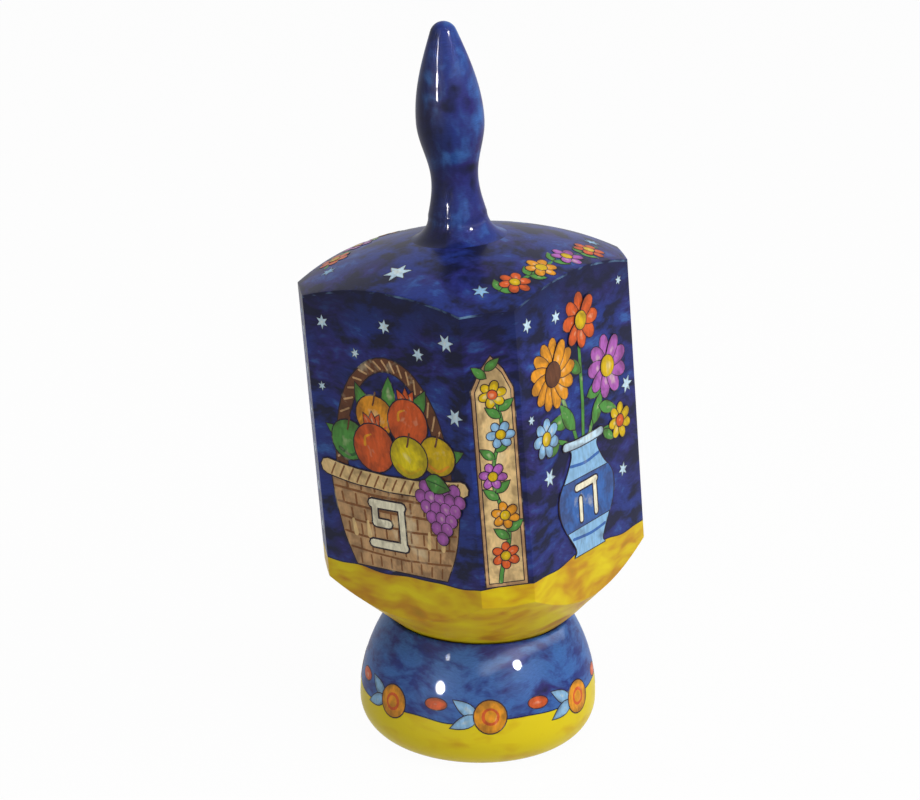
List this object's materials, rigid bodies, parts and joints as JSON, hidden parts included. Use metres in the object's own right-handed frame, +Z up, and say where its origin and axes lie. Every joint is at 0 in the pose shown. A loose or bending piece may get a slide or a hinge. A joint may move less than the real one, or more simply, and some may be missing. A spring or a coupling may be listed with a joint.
{
  "type": "dreidel",
  "caption": "Large painted wooden four-sided spinning top with a waisted finger grip, leaning in its turned cup stand, which it lifts out of and turns in.",
  "frame": {"origin": "centre of the stand's flat foot, on the surface that it stands on", "axes": "+Z up along the stand's axis; the dreidel leans 5 degrees towards -X about the centre of its round underside"},
  "size_m": [0.0908, 0.0846, 0.1907],
  "materials": {
    "stand_paint": "hand painted deep blue over a golden yellow foot, gloss varnish",
    "block_paint": "hand painted blue above golden yellow, gloss varnish",
    "grip_paint": "hand painted deep blue, gloss varnish",
    "tip_paint": "hand painted golden yellow, gloss varnish"
  },
  "bodies": {
    "stand": {"stand": "stand_paint"},
    "tip": {"spin_tip": "tip_paint"},
    "dreidel": {"body": "block_paint", "handle": "grip_paint"}
  },
  "joints": [
    {"name": "lift_off", "type": "slide", "parent": "stand", "child": "tip", "axis": [0, 0, 1], "range_m": [0, 0.06]},
    {"name": "spin", "type": "hinge", "parent": "tip", "child": "dreidel", "pos_m": [0, 0, 0.06369], "axis": [-0.0872, 0, 0.9962], "continuous": true}
  ]
}
